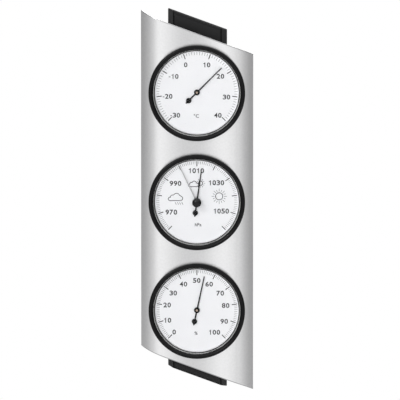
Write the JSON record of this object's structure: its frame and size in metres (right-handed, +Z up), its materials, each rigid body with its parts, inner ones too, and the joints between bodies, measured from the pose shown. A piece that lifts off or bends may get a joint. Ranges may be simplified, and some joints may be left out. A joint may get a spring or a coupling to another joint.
{
  "type": "wall weather station",
  "caption": "Wall weather station: thermometer, barometer and hygrometer with round white dials in a bent brushed metal plate with slanted ends, held off a black hanging frame.",
  "frame": {"origin": "centre of the hanging hole on the wall plane", "axes": "+Z up, +Y into the wall, +X to the right of someone who reads the dials"},
  "size_m": [0.1, 0.0399, 0.3418],
  "materials": {
    "brushed_plate": "brushed, satin",
    "frame_black": "satin black paint",
    "case_black": "satin black paint",
    "bezel_black": "glossy black",
    "clear_glass": "clear",
    "seal_pale": "soft matt",
    "ring_black": "glossy black",
    "dial_white": "white enamel with printed scale",
    "pointer_black": "satin black",
    "steel": "bright",
    "sleeve_black": "matt black",
    "brass": "turned",
    "bimetal": "rolled strip",
    "capsule_bronze": "pressed and tinned",
    "spring_blue": "blued",
    "hand_grey": "satin",
    "knob_black": "glossy black",
    "hygro_strip": "coated strip"
  },
  "bodies": {
    "station": {"front_plate": "brushed_plate", "frame_front": "frame_black", "frame_sides": "frame_black", "frame_ends": "frame_black", "hanger_bridge": "frame_black", "plate_studs": "steel", "stand_off_sleeves": "sleeve_black", "stud_washers": "steel", "stud_nuts": "steel", "case_screws": "steel", "movement_screws": "brass", "pivot_bushes": "brass", "thermometer_case": "case_black", "thermometer_bezel": "bezel_black", "thermometer_glass": "clear_glass", "thermometer_glass_seal": "seal_pale", "thermometer_spacer_ring": "ring_black", "thermometer_dial": "dial_white", "thermometer_bridge": "steel", "bimetal_spiral": "bimetal", "spiral_post": "steel", "barometer_case": "case_black", "barometer_bezel": "bezel_black", "barometer_glass": "clear_glass", "barometer_glass_seal": "seal_pale", "barometer_spacer_ring": "ring_black", "barometer_dial": "dial_white", "movement_plate": "steel", "aneroid_capsule": "capsule_bronze", "rear_cock": "steel", "movement_bridge": "steel", "bridge_pillars": "brass", "pillar_screws": "steel", "hairspring": "spring_blue", "hygrometer_case": "case_black", "hygrometer_bezel": "bezel_black", "hygrometer_glass": "clear_glass", "hygrometer_glass_seal": "seal_pale", "hygrometer_spacer_ring": "ring_black", "hygrometer_dial": "dial_white", "hygrometer_bridge": "steel"},
    "temperature_hand": {"thermometer_arbor": "brass", "thermometer_pointer": "pointer_black"},
    "pressure_hand": {"pinion_arbor": "brass", "barometer_pointer": "pointer_black"},
    "sector": {"gear_sector": "brass", "sector_arbor": "steel"},
    "rocker": {"rocking_shaft": "steel"},
    "capsule_top": {"capsule_post": "steel"},
    "set_hand_and_knob": {"set_hand": "hand_grey", "set_knob": "knob_black"},
    "zero_screw": {"adjusting_screw": "steel"},
    "humidity_adjuster": {"hygrometer_adjuster": "brass", "hygro_spiral": "hygro_strip"},
    "humidity_hand": {"hygrometer_arbor": "brass", "hygrometer_pointer": "pointer_black"}
  },
  "joints": [
    {"name": "temperature_turn", "type": "hinge", "parent": "station", "child": "temperature_hand", "pos_m": [0, -0.03, -0.042], "axis": [0, 1, 0], "range_deg": [-179.74, 90.26], "stiffness_Nm_per_rad": 0.002, "deforming": ["bimetal_spiral"]},
    {"name": "pressure_turn", "type": "hinge", "parent": "station", "child": "pressure_hand", "pos_m": [0, -0.03, -0.14], "axis": [0, 1, 0], "range_deg": [-143.1, 126.9], "stiffness_Nm_per_rad": 0.002, "deforming": ["hairspring"]},
    {"name": "sector_turn", "type": "hinge", "parent": "station", "child": "sector", "pos_m": [-0.02579, -0.0223, -0.148], "axis": [0, 1, 0], "range_deg": [-15.9, 17.9]},
    {"name": "rocker_turn", "type": "hinge", "parent": "station", "child": "rocker", "pos_m": [0, -0.02, -0.1489], "axis": [1, 0, 0], "range_deg": [-10.65, 9.45]},
    {"name": "capsule_travel", "type": "slide", "parent": "station", "child": "capsule_top", "axis": [0, 1, 0], "range_m": [-0.00053, 0.00047], "deforming": ["aneroid_capsule"]},
    {"name": "set_hand_turn", "type": "hinge", "parent": "station", "child": "set_hand_and_knob", "pos_m": [0, -0.035, -0.14], "axis": [0, 1, 0], "continuous": true},
    {"name": "zero_screw_turn", "type": "hinge", "parent": "station", "child": "zero_screw", "pos_m": [0.002, -0.011, -0.15177], "axis": [0, 1, 0], "range_deg": [-360, 360]},
    {"name": "humidity_adjust_turn", "type": "hinge", "parent": "station", "child": "humidity_adjuster", "pos_m": [0, -0.012, -0.238], "axis": [0, 1, 0], "range_deg": [-25, 25]},
    {"name": "humidity_turn", "type": "hinge", "parent": "humidity_adjuster", "child": "humidity_hand", "pos_m": [0, -0.03, -0.238], "axis": [0, 1, 0], "range_deg": [-147.15, 122.85], "stiffness_Nm_per_rad": 0.002, "deforming": ["hygro_spiral"]}
  ],
  "couplings": [
    {"joint": "sector_turn", "follows": "pressure_turn", "ratio": -0.125},
    {"joint": "rocker_turn", "follows": "pressure_turn", "ratio": 0.074074},
    {"joint": "capsule_travel", "follows": "pressure_turn", "m_per_rad": 0.00021221}
  ]
}
